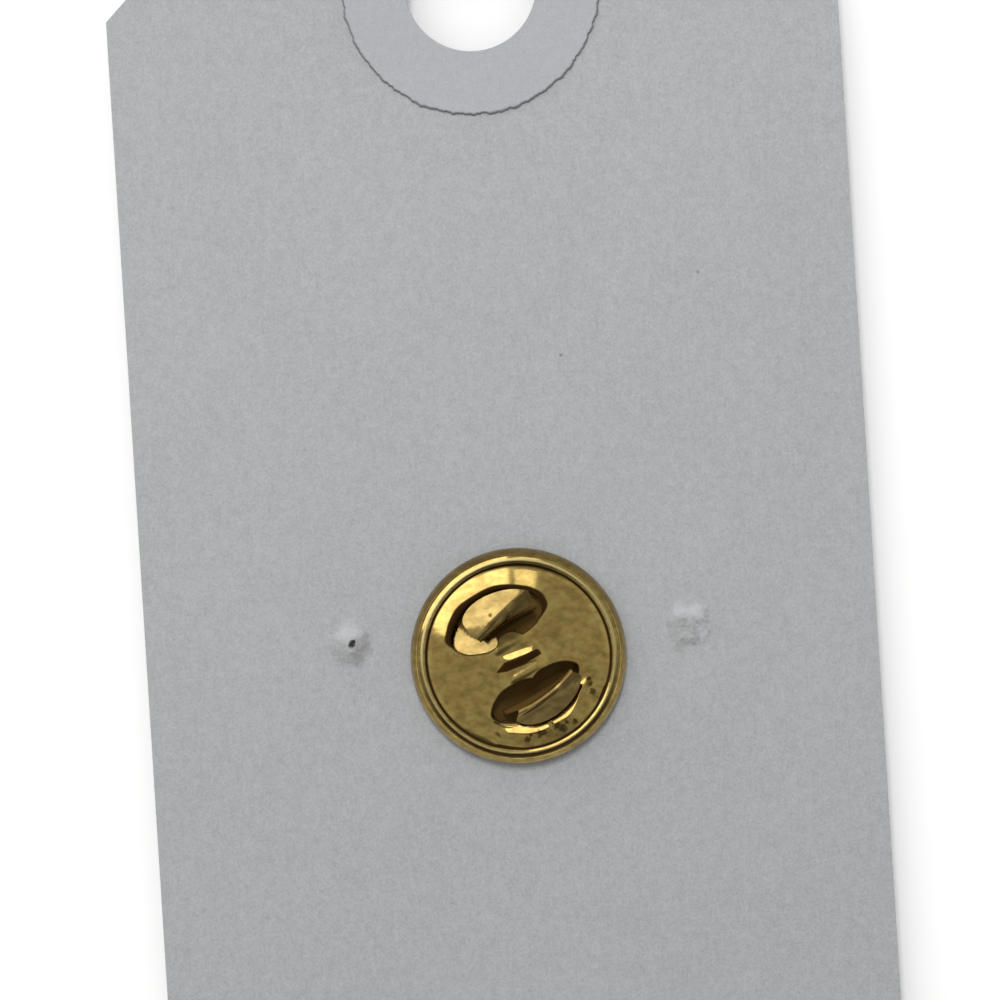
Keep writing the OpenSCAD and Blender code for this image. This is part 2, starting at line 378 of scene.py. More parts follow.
def half_reach(turn):
    """How far half the cover reaches from its pocket's middle, to the rim or the bridge's middle."""
    out = math.sin(turn)
    to_rim = -POCKET_Y * out + math.sqrt((POCKET_Y * out) ** 2 + COVER_R**2 - POCKET_Y**2)
    return min(to_rim, -POCKET_Y / out) if out < 0 else to_rim


def cover_half(cover, side, edge):
    """Rings from one pocket's edge out to the rim and to the bridge's middle line, close at the edge."""
    turns = np.arctan2(edge[:, 1] - POCKET_Y, edge[:, 0])
    reaches = np.hypot(edge[:, 0], edge[:, 1] - POCKET_Y)
    for ring in range(COVER_RINGS + 1):
        if ring:
            bpy.ops.mesh.extrude_region_move()
        share = (ring / COVER_RINGS) ** 1.6

        def spread(x, y, z):
            turn = math.atan2(side * y - POCKET_Y, x)
            inner = float(np.interp(turn, turns, reaches, period=2 * math.pi))
            reach = inner + (half_reach(turn) - inner) * share
            return reach * math.cos(turn), side * (POCKET_Y + reach * math.sin(turn)), z

        place_selected(cover, spread)


def cover_fall():
    """The cover's height from its axis out: crown, cone and the foot under the bead."""
    step = 0.01
    radius = np.arange(0, 5.8, step)
    slope = np.interp(radius, [0, 0.7, 1.5, 4.8, 5.1, 5.2, 5.8], [0, 0.04, 0.36, 0.36, 0.15, 0.06, 0.06])
    height = COVER_TOP - np.concatenate(([0], np.cumsum((slope[1:] + slope[:-1]) / 2 * step)))
    return radius, height


def pocket_gap(x, y, upper, lower):
    """How far each point is from the edge of its own half's pocket."""
    gap = np.empty(len(x))
    for own, line in ((y >= 0, upper), (y < 0, lower)):
        place = np.stack((x[own], np.abs(y[own])), axis=1)
        gap[own] = np.linalg.norm(place[:, None] - line[None], axis=2).min(axis=1)
    return gap


def bridge_flat(x, y):
    """How flat the sheet lies across the bridge and across its tongue in the upper pocket."""
    tongue = (y > 0) * (y < 2) * (1 - smooth(0.65, 0.95, np.abs(x)))
    bridge = (1 - smooth(0.9, 1.7, np.abs(y))) * (1 - smooth(1.4, 2.4, np.abs(x)))
    return np.maximum(bridge, tongue)


def bridge_sides(x, out):
    """The slight rise along the bridge's two sides."""
    beside = smooth(0.58, 0.95, out) * (1 - smooth(1.0, 1.6, out))
    return 0.02 * beside * (1 - smooth(1.6, 2.6, np.abs(x - 0.5)))


def edge_roll(y, gap, far):
    """How far the sheet rolls down at the pockets' edges, most on the upper one's far side."""
    roll = np.where(y > 0, 0.03 + 0.3 * far, 0.03)
    return roll - np.sqrt(np.maximum(roll**2 - np.maximum(roll - gap, 0) ** 2, 0))


def lip_lift(x, out, gap, height):
    """How far the lower pocket's lip stands above the cone, from its left end on."""
    past = gap - 0.38 - 0.2 * (1 - smooth(-2.2, -0.3, x)) - 0.16 * smooth(0.0, 0.9, x)
    crest = LIP_TOP + LIP_RISE * (out - 4) + 0.09 * np.clip(x, 0, 2.3)
    above = crest - 0.31 * (np.hypot(past, 0.04) + past) - height
    lift = (above + np.hypot(above, 0.03)) / 2
    starts = 1 - (1 - smooth(-3.1, -2.65, x)) * (1 - smooth(0.5, 1.2, gap))
    return lift * smooth(2.75, 3.15, out) * starts


def lip_edge(x, gap):
    """How far the lip's own edge turns down, over a wider strip at its left end."""
    turned = 0.08 + 0.16 * (1 - smooth(-2.1, -1.3, x))
    return 0.1 * (1 - smooth(0.0, turned, gap))


def lip_notch(x, gap):
    """The narrow notch in the lip, a little left of its middle."""
    return 0.08 * np.exp(-(((x + 0.3) / 0.08) ** 2)) * (1 - smooth(0.4, 0.8, gap))


def cover_die(upper, lower):
    """The die that presses the cover: cone, flat bridge, rolled edges, lower lip and rib."""
    fall_radius, fall_height = cover_fall()

    def die(x, y, z):
        out, below = np.abs(y), y < 0
        gap = pocket_gap(x, y, upper, lower)
        far = smooth(2.2, 3.1, out)
        cone = np.interp(np.hypot(x, y), fall_radius, fall_height)
        bridge = np.interp(np.abs(x), fall_radius, fall_height)
        height = cone + (bridge - cone) * bridge_flat(x, y)
        height -= edge_roll(y, gap, far)
        height += lip_lift(x, out, gap, height) * below
        height -= lip_edge(x, gap) * below * far
        height += bridge_sides(x, out)
        height -= lip_notch(x, gap) * below * far
        return x, y, z + height + rib(x, y)

    return die


def edge_shade(x, y, gap):
    """Painted shade along the pockets' edges, in a wide band on the upper one's far side."""
    out = np.abs(y)
    band = np.maximum(smooth(2.2, 2.9, out), smooth(-1.0, 0.5, x) * smooth(1.2, 1.8, out))
    bulge = np.exp(-(((x + 1.9) / 0.8) ** 2)) * smooth(2.4, 3.2, out)
    upper_wide = 0.06 + 0.28 * band + 0.12 * bulge
    lower_wide = 0.08 - 0.05 * smooth(1.9, 3.0, out)
    wide = np.where(y > 0, upper_wide, lower_wide)
    return 1 - smooth(wide - 0.06, wide + 0.05, gap)


def rib_shade(x, y):
    """Painted shade: the dark strip on the rib's lower, shaded side, between an upper and a lower line."""
    top = np.interp(x, [-1.5, -0.82, -0.14, 1.09, 1.2], [-0.1, 0.16, 0.04, -0.07, -0.2])
    low = np.interp(x, [-1.5, -0.97, 0.05, 1.2], [-0.18, -0.38, -0.5, -0.48])
    return smooth(0, 0.04, top - y) * smooth(0, 0.04, y - low) * (np.abs(x + 0.15) < 1.35)


def foot_shade(x, y):
    """Painted shade on the part of the cover's foot that is nearest the hanging hole."""
    radius = np.hypot(x, y)
    head = smooth(0.8, 0.97, (0.521 * x + 0.853 * y) / np.maximum(radius, 0.1))
    return head * smooth(4.95, 5.17, radius)


def cover_shade_rule(upper, lower):
    """How dark the cover is painted: painted shade along the pocket edges, on the rib's lower side and on
    part of the foot, and the tongue darkened outwards.
    """
    def shade_at(x, y, z):
        held = edge_shade(x, y, pocket_gap(x, y, upper, lower))
        tongue = (y > 0) * (y < 2) * smooth(0.85, 1.3, np.abs(y)) * (1 - smooth(0.6, 0.95, np.abs(x)))
        return np.maximum.reduce((held, 0.5 * tongue, rib_shade(x, y), foot_shade(x, y)))

    return shade_at


def on_rib(x, y):
    """Places along and across the rib, which is turned a little on the bridge."""
    turn = math.radians(-10)
    dx, dy = x + 0.1, y - 0.06
    return dx * math.cos(turn) + dy * math.sin(turn), dy * math.cos(turn) - dx * math.sin(turn)


def rib(x, y):
    """The rib on the bridge over the post's end: a low ridge, a little steeper on its upper side."""
    along, across = on_rib(x, y)
    ridge = 0.14 * (1 - smooth(0.02, 0.33, across)) * smooth(-0.55, -0.1, across)
    ends = smooth(-0.85, -0.4, along) * (1 - smooth(1.0, 1.2, along))
    return ridge * ends


def pressed_cover(material):
    """The clutch's cover: a cone-shaped sheet with two pockets and a rib, its edges turned down."""
    upper, lower = pocket_edge(UPPER_POCKET), pocket_edge(LOWER_POCKET)
    circle = {"vertices": COVER_SIDES, "radius": MM}
    cover = open_clutch_piece("pressed_cover", bpy.ops.mesh.primitive_circle_add, **circle)
    across = Vector((-math.sin(CLUTCH_TURN), math.cos(CLUTCH_TURN), 0)) * POCKET_Y * MM
    bpy.ops.transform.translate(value=across)
    cover_half(cover, 1, upper)
    bpy.ops.mesh.select_all(action="DESELECT")
    bpy.ops.mesh.primitive_circle_add(
        location=CLUTCH_FOOT - across, rotation=(0, 0, CLUTCH_TURN), **circle,
    )
    cover_half(cover, -1, lower)
    outward_normals(cover, up=True)
    # Keeps the cover's painted shade with its mesh
    keep_darkening(cover, cover_shade_rule(upper, lower))
    press(cover, cover_die(upper, lower))
    # The pockets' edges, not the rim, are turned down
    select_edges(cover, lambda edge: edge.is_boundary and edge.verts[0].co.xy.length < 5 * MM)
    bpy.ops.mesh.extrude_region_move(TRANSFORM_OT_translate={"value": (0, 0, -0.16 * MM)})
    outward_normals(cover, up=True)
    add_modifier(cover, "SOLIDIFY", thickness=SHEET * MM, offset=-1)
    close_piece(cover, "clutch", "clutch_face", material, angle=50)


def floor_rows():
    """A wing strip's flat part: narrow jaw by the post, wide floor below the pocket."""
    jaw_half, jaw_end, floor_half, floor_mid, floor_reach, bend = 1.3, 1.0, 2.85, 2.15, 1.5, 1.75
    rows = []
    for out in np.concatenate((np.arange(JAW_START, 0.8, 0.1), np.arange(0.8, 3.62, 0.1))):
        wide = floor_half * math.sqrt(max(1 - abs((out - floor_mid) / floor_reach) ** 2.6, 0.02))
        half = max(jaw_half if out < jaw_end else 0, wide)
        height = 1.22 - 0.3 * float(smooth(0.5, 0.9, out)) - 0.1 * (min(out, bend) - 0.8)
        height -= 0.18 * max(out - bend, 0)
        rows.append((float(out), height, half, -0.45 * float(smooth(0.8, 1.2, out))))
    return rows


def leaf_rows():
    """A wing strip's upright part: foot bend, riser, crest bend and leaf-shaped tab."""
    riser_half, crest_half, crest_mid, tab_end = 1.8, 1.86, 0.15, 3.87
    foot = [(out, high, riser_half, 0) for out, high in arc((1.95, 0.95), (0.35, 0.35), -100, -8, 8)]
    rise = [
        (2.3 + 0.21 * share, 1 + 1.81 * share, riser_half, crest_mid * share)
        for share in (i / 8 for i in range(9))
    ]
    crest = [(out, high, crest_half, crest_mid) for out, high in arc((2.61, 2.82), (0.1, 0.1), 174, 86, 8)]
    crest_out, crest_high = crest[-1][:2]
    tab = []
    for i in range(1, 21):
        share = math.sin(math.radians(90 * i / 20.3))
        out = crest_out + (tab_end - crest_out) * share
        half = 2.12 * math.sqrt(max(1 - share**2, 0.01)) * (0.88 + 0.12 * float(smooth(0, 0.3, share)))
        ahead = out - crest_out
        fall = TAB_FALL * (ahead**2 / 0.7 if ahead < 0.35 else ahead - 0.175)
        tab.append((out, crest_high - fall, max(half, 0.25), crest_mid - 0.6 * share))
    return foot + rise + crest + tab


def bend_wing(x, y, z):
    """Opens the jaw for the post, arches the leaf and sets its crest a little askew."""
    mouth_r, jaw_end = 0.58, 1.3
    high = smooth(1.4, 2.7, z)
    tip = smooth(2.6, 3.5, y)
    arch = np.where(x > 0, 0.055, 0.03) * x**2
    height = z - arch * high + 0.06 * (x - 0.5) * (1 - high)
    out = y + (0.15 * x - 0.065 * x**2 + 0.02) * high * (1 - tip) ** 2
    mouth = np.sqrt(np.maximum(mouth_r**2 - x**2, JAW_START**2))
    inner = (z < 2) & (y < jaw_end)
    out = np.where(inner, mouth + (y - JAW_START) * (jaw_end - mouth) / (jaw_end - JAW_START), out)
    return x, out, height


def strip_part(wing, rows):
    """Draws the selected grid out from its far edge, through rows of out, height, half width and middle."""
    out, height, half = rows[0][:3]
    grid_w = 0.02
    place_selected(wing, lambda x, y, z: (x * 2 * half, out - (grid_w if y < 0 else 0), height))
    work = bmesh.from_edit_mesh(wing.data)
    for point in work.verts:
        if point.select and point.co.y / MM < out - grid_w / 2:
            point.select_set(False)
    work.select_flush_mode()
    bmesh.update_edit_mesh(wing.data)
    sheet_rows(wing, rows)


def wing_strip():
    """One wing of the spring strip on the far side of the bridge, floor and upright leaf."""
    grid = {"x_subdivisions": 48, "y_subdivisions": 1, "size": MM}
    wing = open_clutch_piece("upper_wing_strip", bpy.ops.mesh.primitive_grid_add, **grid)
    strip_part(wing, floor_rows())
    bpy.ops.mesh.select_all(action="DESELECT")
    bpy.ops.mesh.primitive_grid_add(location=CLUTCH_FOOT, rotation=(0, 0, CLUTCH_TURN), **grid)
    strip_part(wing, leaf_rows())
    outward_normals(wing, up=True)
    press(wing, bend_wing)
    add_modifier(wing, "SOLIDIFY", thickness=WING_SHEET * MM, offset=0)
    add_modifier(
        wing, "BEVEL", width=0.05 * MM, segments=2, limit_method="ANGLE", angle_limit=math.radians(50),
    )
    return wing


def settle(wing, way):
    """Sets a wing to one side: the lower turned round and skewed, the upper's crest bent wide."""
    bpy.context.view_layer.objects.active = wing

    def shift(x, y, z):
        x, y = way * x + 0.26 * smooth(0.6, 1.6, np.abs(y)), way * y
        high = smooth(1.35, 2.2, z)
        if way < 0:
            leaf_shift = high * (0.24 - np.clip((-y - 2.62) / 1.25, 0, 1))
            floor_shift = 0.75 * (1 - high) * smooth(0.6, 1.6, -y)
            x = x + leaf_shift - floor_shift
            y = y + 0.07 * smooth(2.7, 3.5, -y)
        else:
            y = y - (0.35 + 0.1 * x) * high * (1 - smooth(2.55, 3.0, y))
            before = np.maximum((2.5 + 0.3 * x - y) / 0.5, 0)
            z = z - 0.3 * high * np.where(before < 1, before**2, 0.5 + 0.5 * before)
        return x, y, z

    press(wing, shift)


def wing_shade(x, y, z):
    """Painted shade on a wing: its riser, the shaded part of its floor, the upper leaf's dim end and the
    lower crest.
    """
    upper, out = y > 0, np.abs(y)
    standing = smooth(1.3, 1.5, z)
    riser_top = np.where(upper, 2.4, 2.75)
    riser = standing * (1 - smooth(0, 0.1, z - riser_top)) * (out < 2.75)
    shore = np.interp(y, [1.55, 1.72, 1.94, 2.27, 2.83, 3.31], [-0.46, -0.87, -1.34, -1.64, -1.85, -2.12])
    dark = np.maximum(smooth(-0.18, -0.08, x - shore), smooth(3.2, 3.35, y))
    floor = (1 - standing) * np.where(upper, dark, 0.9)
    dim_end = upper * smooth(1.5, 1.8, z) * smooth(-0.1, 0.15, x - 1.79 - 1.6 * (y - 3.16))
    dim_end *= 0.35 + 0.5 * smooth(1.9, 2.4, x)
    # The lower crest is painted dark all along but for a short bright dash
    bright_dash = np.exp(-(((x - 1.1) / 0.22) ** 2))
    crest = ~upper * smooth(2.7, 2.85, z) * (out < 2.72) * (0.5 - 0.45 * bright_dash)
    return np.maximum.reduce((riser, floor, dim_end, crest))


def both_wings(material):
    """The two wings of the spring strip: one is modelled, and its copy stands the other way round."""
    upper = wing_strip()
    lower = upper.copy()
    lower.data = upper.data.copy()
    lower.name = lower.data.name = "lower_wing_strip"
    bpy.context.scene.collection.objects.link(lower)
    for wing, way, node in ((upper, 1, "wing_upper"), (lower, -1, "wing_lower")):
        settle(wing, way)
        # Keeps the wing's painted shade with its mesh
        keep_darkening(wing, wing_shade)
        close_piece(wing, node, node, material)


# Shared effects, and the materials


def add_node(tree, kind, inputs=None, **settings):
    """Adds a node, sets it up, and links or fills its inputs."""
    node = tree.nodes.new(kind)
    for key, value in settings.items():
        setattr(node, key, value)
    for key, value in (inputs or {}).items():
        if isinstance(value, bpy.types.NodeSocket):
            tree.links.new(value, node.inputs[key])
        else:
            node.inputs[key].default_value = value
    return node


def math_node(tree, operation, *values):
    """A Math node's result."""
    return add_node(tree, "ShaderNodeMath", dict(enumerate(values)), operation=operation).outputs[0]


def vector_node(tree, operation, one, other, result="Vector"):
    """A Vector Math node's result."""
    node = add_node(tree, "ShaderNodeVectorMath", {0: one, 1: other}, operation=operation)
    return node.outputs[result]


def noise_node(tree, place, scale, detail, roughness=0.5):
    """Noise with so many turns to the metre."""
    settings = {"Vector": place, "Scale": scale, "Detail": detail, "Roughness": roughness}
    return add_node(tree, "ShaderNodeTexNoise", settings).outputs[0]


def ramp(tree, value, start, end, low=0.0, high=1.0, kind="SMOOTHSTEP"):
    """Goes from low to high while the value goes from start to end, eased unless the kind is LINEAR."""
    node = add_node(
        tree, "ShaderNodeMapRange",
        {"Value": value, "From Min": start, "From Max": end, "To Min": low, "To Max": high},
        interpolation_type=kind,
    )
    return node.outputs[0]


def object_place(tree):
    """Each point's place in its object."""
    return add_node(tree, "ShaderNodeTexCoord").outputs["Object"]


def mesh_darkening(tree):
    """How dark the piece's mesh says it is painted: painted shade on the clutch's pieces, the dark edge line
    on the patch.
    """
    return add_node(tree, "ShaderNodeAttribute", attribute_name="darkening").outputs["Fac"]


def new_effect(name, inputs, outputs):
    """An empty shader group with named inputs and outputs, and its two end nodes."""
    tree = bpy.data.node_groups.new(name, "ShaderNodeTree")
    for label, kind, value in inputs:
        socket = tree.interface.new_socket(name=label, in_out="INPUT", socket_type=kind)
        socket.default_value = value
    for label in outputs:
        tree.interface.new_socket(name=label, in_out="OUTPUT", socket_type=NUMBER)
    return tree, tree.nodes.new("NodeGroupInput"), tree.nodes.new("NodeGroupOutput")


def grain_effect():
    """Paper grain: a shade that varies about 1, and the height of its fibres."""
    tree, given, result = new_effect("paper_grain", [("Contrast", NUMBER, 1.0)], ["Shade", "Height"])
    place = object_place(tree)
    laid = add_node(
        tree, "ShaderNodeMapping", {"Vector": place, "Scale": (1.0, 0.12, 1.0), "Rotation": (0, 0, 0.6)},
    )
    fine, clumps = noise_node(tree, place, 9500.0, 2.0), noise_node(tree, place, 2300.0, 3.0)
    clouds, fibres = noise_node(tree, place, 150.0, 3.0), noise_node(tree, laid.outputs[0], 8000.0, 2.0)
    total = 0.0
    for source, weight in ((fine, 0.2), (clumps, 0.09), (clouds, 0.025), (fibres, 0.04)):
        centred = math_node(tree, "SUBTRACT", source, 0.5)
        total = math_node(tree, "MULTIPLY_ADD", centred, weight, total)
    scaled = math_node(tree, "MULTIPLY", total, given.outputs["Contrast"])
    tree.links.new(math_node(tree, "ADD", scaled, 1.0), result.inputs["Shade"])
    height = math_node(tree, "ADD", fine, fibres)
    tree.links.new(math_node(tree, "MULTIPLY_ADD", clumps, 0.7, height), result.inputs["Height"])
    return tree


def spot_effect():
    """A ragged spot: 1 at its centre, 0 beyond its radius, in metres."""
    tree, given, result = new_effect(
        "ragged_spot",
        [("Centre", "NodeSocketVector", (0, 0, 0)), ("Radius", NUMBER, MM), ("Rag", NUMBER, 0.4)],
        ["Mask"],
    )
    place = object_place(tree)
    flat = vector_node(tree, "MULTIPLY", place, (1, 1, 0))
    gap = vector_node(tree, "DISTANCE", flat, given.outputs["Centre"], "Value")
    cloud = math_node(tree, "SUBTRACT", noise_node(tree, place, 5500.0, 3.0), 0.5)
    ragged = math_node(tree, "MULTIPLY", cloud, given.outputs["Rag"])
    share = math_node(tree, "ADD", math_node(tree, "DIVIDE", gap, given.outputs["Radius"]), ragged)
    tree.links.new(ramp(tree, share, 0.35, 1.0, low=1.0, high=0.0), result.inputs["Mask"])
    return tree


def tarnish_effect():
    """Tarnish on plated metal: a cloudy mask, fine streaks and the height of small dents."""
    tree, given, result = new_effect(
        "plate_tarnish", [("Size", NUMBER, 1.0)], ["Clouds", "Streaks", "Height"],
    )
    sized = add_node(
        tree, "ShaderNodeVectorMath", {0: object_place(tree), "Scale": given.outputs["Size"]},
        operation="SCALE",
    ).outputs[0]
    brushed = add_node(
        tree, "ShaderNodeMapping", {"Vector": sized, "Rotation": (0, 0, -0.46), "Scale": (0.6, 1.0, 1.0)},
    ).outputs[0]
    for label, place, scale, detail, roughness in (
        ("Clouds", sized, 900.0, 5.0, 0.6),
        ("Streaks", brushed, 2600.0, 4.0, 0.5),
        ("Height", sized, 650.0, 2.0, 0.5),
    ):
        tree.links.new(noise_node(tree, place, scale, detail, roughness), result.inputs[label])
    return tree


def new_material(name):
    """A new node material's tree and its shader."""
    material = bpy.data.materials.new(name)
    material.use_nodes = True
    return material, material.node_tree, material.node_tree.nodes["Principled BSDF"]


def use_effect(tree, effect, **inputs):
    """Places a shared effect in a material."""
    return add_node(tree, "ShaderNodeGroup", inputs, node_tree=effect)


def mixed(tree, kind, share, one, other):
    """A colour mix."""
    node = add_node(tree, "ShaderNodeMix", {"Factor": share}, data_type="RGBA", blend_type=kind)
    for index, value in ((6, one), (7, other)):
        if isinstance(value, bpy.types.NodeSocket):
            tree.links.new(value, node.inputs[index])
        else:
            node.inputs[index].default_value = (*value, 1)
    return node.outputs[2]


def joined_spots(tree, effect, spots):
    """The strongest of several ragged spots, given by place and radius in millimetres."""
    total = None
    for x, y, radius, rag in spots:
        spot = use_effect(tree, effect, Centre=(x * MM, y * MM, 0), Radius=radius * MM, Rag=rag).outputs[0]
        total = spot if total is None else math_node(tree, "MAXIMUM", total, spot)
    return total


def bump(tree, shader, height, distance):
    """Feeds a height in millimetres into the shader's normal."""
    node = add_node(tree, "ShaderNodeBump", {"Height": height, "Distance": distance * MM, "Strength": 1.0})
    tree.links.new(node.outputs[0], shader.inputs["Normal"])


def matt_finish(shader, roughness, shine):
    """Sets how rough a matt surface is and how much shine it keeps."""
    shader.inputs["Roughness"].default_value = roughness
    shader.inputs["Specular IOR Level"].default_value = shine


def paper_marks():
    """Marks on the card: strength, colour, and for each spot its x, y, radius and raggedness. All but the
    specks are painted light and shade on the two raised marks.
    """
    # Painted light on the upper sides of the two raised marks
    lit_sides = ((-9.17, -4.21, 0.9, 1), (9.49, -4.08, 0.6, 1.2), (10.38, -4.34, 0.7, 1))
    # Painted shade on the marks' lower sides
    shaded_sides = (
        (-8.42, -5.12, 0.75, 1.4), (-8.76, -5.7, 0.6, 1.4), (-8.18, -4.53, 0.3, 1.2),
        (9.63, -5.91, 0.24, 0.8), (9.9, -5.95, 0.26, 0.8), (10.2, -5.98, 0.3, 0.8), (10.46, -5.88, 0.24, 0.8),
    )
    # Painted shade on the blister's right side and lower part
    blister_shade = (
        (11.07, -4.3, 0.16, 0.8), (11.06, -4.61, 0.2, 0.8), (11.05, -4.93, 0.22, 0.8),
        (10.96, -5.23, 0.18, 0.8), (11.15, -5.45, 0.16, 0.8), (10.33, -4.74, 0.22, 0.8),
        (10.57, -4.9, 0.22, 0.8), (10.81, -4.89, 0.2, 0.8), (10.38, -5.2, 0.2, 0.8),
        (10.38, -5.52, 0.28, 0.8),
    )
    # Painted shade about the marks' lower sides
    shade_about_marks = (
        (-9.89, -5.23, 0.6, 1.3), (-9.41, -5.71, 0.6, 1.4), (-8.63, -6.16, 0.3, 1.4), (-9.52, -5, 0.3, 1),
        (9.54, -4.94, 0.6, 1.3), (9.11, -5.37, 0.4, 1.2), (9.45, -6.35, 0.5, 1.4), (8.98, -5.01, 0.3, 1.2),
        (10.12, -5.28, 0.4, 1.2),
    )
    specks = ((3.78, 10.6, 0.15, 0.3), (11.8, 14.8, 0.13, 0.3))
    # Painted shade in the pit where the left spur broke through
    pit_shade = ((*PIERCED, 0.23, 0.9), (PIERCED[0] + 0.09, PIERCED[1] + 0.16, 0.17, 0.9))
    return (
        (0.45, (0.5, 0.51, 0.52), lit_sides),
        (0.5, (0.2, 0.2, 0.19), shaded_sides),
        (0.33, (0.2, 0.2, 0.19), blister_shade),
        (0.24, (0.2, 0.21, 0.18), shade_about_marks),
        (0.6, (0.15, 0.15, 0.16), specks),
        (0.92, (0.02, 0.02, 0.021), pit_shade),
    )


def tag_paper(grain, spot):
    """Pale grey card stock: fine grain, painted shade that darkens it toward its lower end, two specks, and
    painted light and shade on two raised marks, one pierced.
    """
    material, tree, shader = new_material("tag_paper")
    paper = use_effect(tree, grain, Contrast=2.4)
    colour = mixed(tree, "MULTIPLY", 1.0, (0.384, 0.394, 0.404), paper.outputs["Shade"])
    aslant = vector_node(tree, "DOT_PRODUCT", object_place(tree), (0.35, -0.94, 0), "Value")
    # Painted shade: the card darkens toward its lower end
    falloff_shade = ramp(tree, aslant, -20 * MM, 32 * MM, low=0.0, high=0.11, kind="LINEAR")
    colour = mixed(tree, "MIX", falloff_shade, colour, (0.05, 0.05, 0.05))
    for strength, tone, spots in paper_marks():
        mask = joined_spots(tree, spot, spots)
        colour = mixed(tree, "MIX", math_node(tree, "MULTIPLY", mask, strength), colour, tone)
    tree.links.new(colour, shader.inputs["Base Color"])
    matt_finish(shader, roughness=0.92, shine=0.2)
    bump(tree, shader, paper.outputs["Height"], 0.012)
    return material


def patch_paper(grain):
    """The patch's smoother paper, a touch bluer, with a dark line along its frayed edge: its dark fibres and
    a painted thin shadow in one.
    """
    material, tree, shader = new_material("patch_paper")
    paper = use_effect(tree, grain, Contrast=1.8)
    colour = mixed(tree, "MULTIPLY", 1.0, (0.394, 0.404, 0.427), paper.outputs["Shade"])
    # Dark fibres and painted shadow along the patch's edge
    edge_line = math_node(tree, "MULTIPLY", mesh_darkening(tree), 0.8)
    colour = mixed(tree, "MIX", edge_line, colour, (0.13, 0.134, 0.138))
    tree.links.new(colour, shader.inputs["Base Color"])
    matt_finish(shader, roughness=0.85, shine=0.25)
    bump(tree, shader, paper.outputs["Height"], 0.01)
    return material


def on_clutch(along, down):
    """Where on the card a place on the clutch lies, along the bridge and down from it."""
    x, y = along, -down
    return (
        POST_X + x * math.cos(CLUTCH_TURN) - y * math.sin(CLUTCH_TURN),
        POST_Y + x * math.sin(CLUTCH_TURN) + y * math.cos(CLUTCH_TURN),
    )


def plated_metal(
    name, tarnish, bright, dull, roughness, dents, size=1.0,
    rubbed=None, spotted=None, darkening=None, shade_tone=SHADE_BROWN,
):
    """Gold-toned plating in clouds and streaks. Rubbed, spotted and darkening are masks made in its tree;
    darkening lays painted shade in the shade tone.
    """
    material, tree, shader = new_material(name)
    worn = use_effect(tree, tarnish, Size=size)
    clouds, streaks = worn.outputs["Clouds"], worn.outputs["Streaks"]
    dulled = math_node(tree, "MULTIPLY", ramp(tree, clouds, 0.45, 0.65), 0.8)
    colour = mixed(tree, "MIX", dulled, bright, dull)
    colour = mixed(tree, "MULTIPLY", 1.0, colour, math_node(tree, "MULTIPLY_ADD", streaks, 1.3, 0.35))
    rough = math_node(tree, "MULTIPLY_ADD", clouds, 0.06, roughness)
    if rubbed:
        bare = rubbed(tree)
        colour = mixed(tree, "MIX", bare, colour, RUBBED_GOLD)
        rough = math_node(tree, "MULTIPLY_ADD", bare, 0.22, rough)
    if spotted:
        colour = mixed(tree, "MIX", math_node(tree, "MULTIPLY", spotted(tree), 0.8), colour, SPOT_BROWN)
    shader.inputs["Metallic"].default_value = 1.0
    shader.inputs["Specular IOR Level"].default_value = 0.0
    if darkening:
        # The painted shade covers by 1 - (1 - share) squared, and where it is thick the surface is no longer
        # metal
        share = darkening(tree)
        clear = math_node(tree, "SUBTRACT", 1.0, share)
        clear_down = math_node(tree, "MULTIPLY", clear, -1.0)
        covered = math_node(tree, "MULTIPLY_ADD", clear, clear_down, 1.0)
        colour = mixed(tree, "MIX", covered, colour, shade_tone)
        thick = math_node(tree, "POWER", share, 3.0)
        tree.links.new(math_node(tree, "MULTIPLY_ADD", thick, -0.95, 1.0), shader.inputs["Metallic"])
    tree.links.new(colour, shader.inputs["Base Color"])
    tree.links.new(rough, shader.inputs["Roughness"])
    bump(tree, shader, math_node(tree, "MULTIPLY_ADD", streaks, 0.6, worn.outputs["Height"]), dents)
    return material


def clutch_band(tree, start, end, most=1.0):
    """From 0 to the most between two distances in millimetres from the clutch's axis."""
    flat = vector_node(tree, "MULTIPLY", object_place(tree), (1, 1, 0))
    axis = Vector((POST_X, POST_Y, 0)) * MM
    radius = vector_node(tree, "DISTANCE", flat, axis, "Value")
    return ramp(tree, radius, start * MM, end * MM, high=most)


def rim_painted_shade(tree):
    """Painted shade in the groove within the bead, on the bead's lower flank, where it stands for a dark
    reflection, and on the outer wall.
    """
    ahead = add_node(tree, "ShaderNodeSeparateXYZ", {0: object_place(tree)}).outputs["Y"]
    wall_side, flank_side = (
        ramp(tree, ahead, (POST_Y + start) * MM, (POST_Y + end) * MM, low, high, kind="LINEAR")
        for start, end, low, high in ((-5, 5, 0.15, 0.5), (0.5, -3.5, 0.0, 0.85))
    )
    wall = math_node(tree, "MULTIPLY", clutch_band(tree, 5.62, 5.76), wall_side)
    flank = math_node(tree, "MULTIPLY", clutch_band(tree, 5.44, 5.48), clutch_band(tree, 5.68, 5.6))
    flank = math_node(tree, "MULTIPLY", flank, flank_side)
    groove = clutch_band(tree, 5.31, 5.23, 0.88)
    return math_node(tree, "MAXIMUM", math_node(tree, "MAXIMUM", groove, flank), wall)


def rim_rubbed(tree):
    """The top of the bead, where the plating is rubbed bright."""
    return math_node(tree, "MULTIPLY", clutch_band(tree, 5.36, 5.4), clutch_band(tree, 5.56, 5.5))


def held_painted_shade(tree):
    """Painted shade where the mesh holds it."""
    return math_node(tree, "MULTIPLY", mesh_darkening(tree), 0.98)


